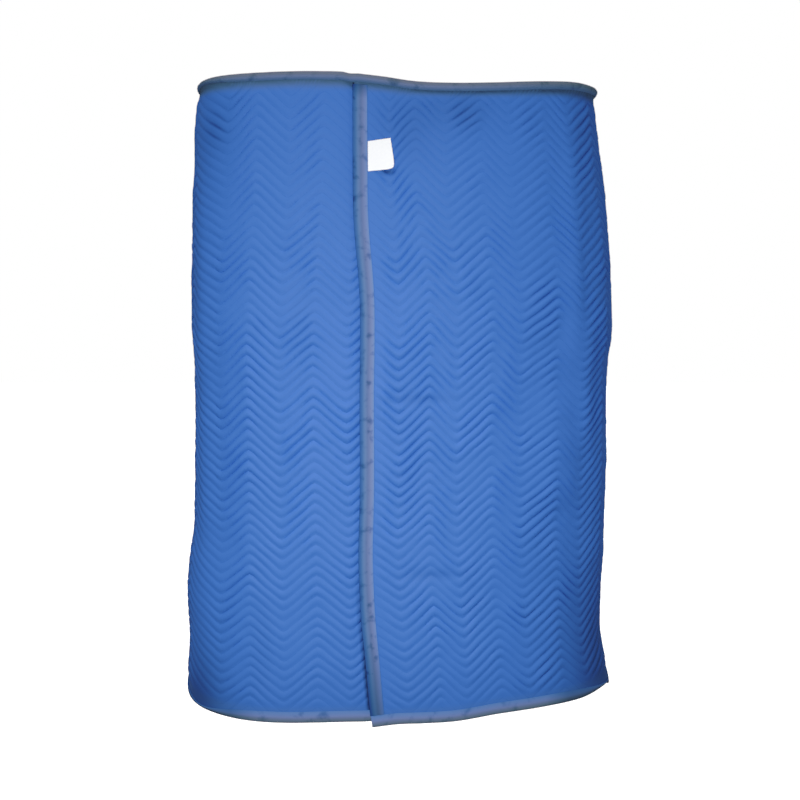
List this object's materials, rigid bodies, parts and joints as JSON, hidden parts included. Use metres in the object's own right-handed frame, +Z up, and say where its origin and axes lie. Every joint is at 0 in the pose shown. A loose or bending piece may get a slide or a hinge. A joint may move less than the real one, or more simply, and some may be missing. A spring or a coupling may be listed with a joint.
{
  "type": "refrigerator cover",
  "caption": "Quilted pad-cloth cover that hangs over a refrigerator, closed at the top and lapped at the front, with grey tape bound over its edges.",
  "frame": {"origin": "middle of the top panel's flat underside, where the top of the refrigerator would be", "axes": "+Z up, front with the lapped opening towards -Y, +X to the right as seen from the front"},
  "size_m": [1.0948, 0.7027, 1.5394],
  "materials": {
    "pad_cloth": "blue woven cloth, quilted in zigzag rows",
    "tape": "grey woven binding tape, stitched",
    "label": "smooth white label cloth, blank"
  },
  "bodies": {
    "root": {"quilted_wrap": "pad_cloth", "top_panel": "pad_cloth", "top_binding": "tape", "hem_binding": "tape", "flap_binding": "tape", "inner_flap_binding": "tape", "care_label": "label"}
  },
  "joints": []
}
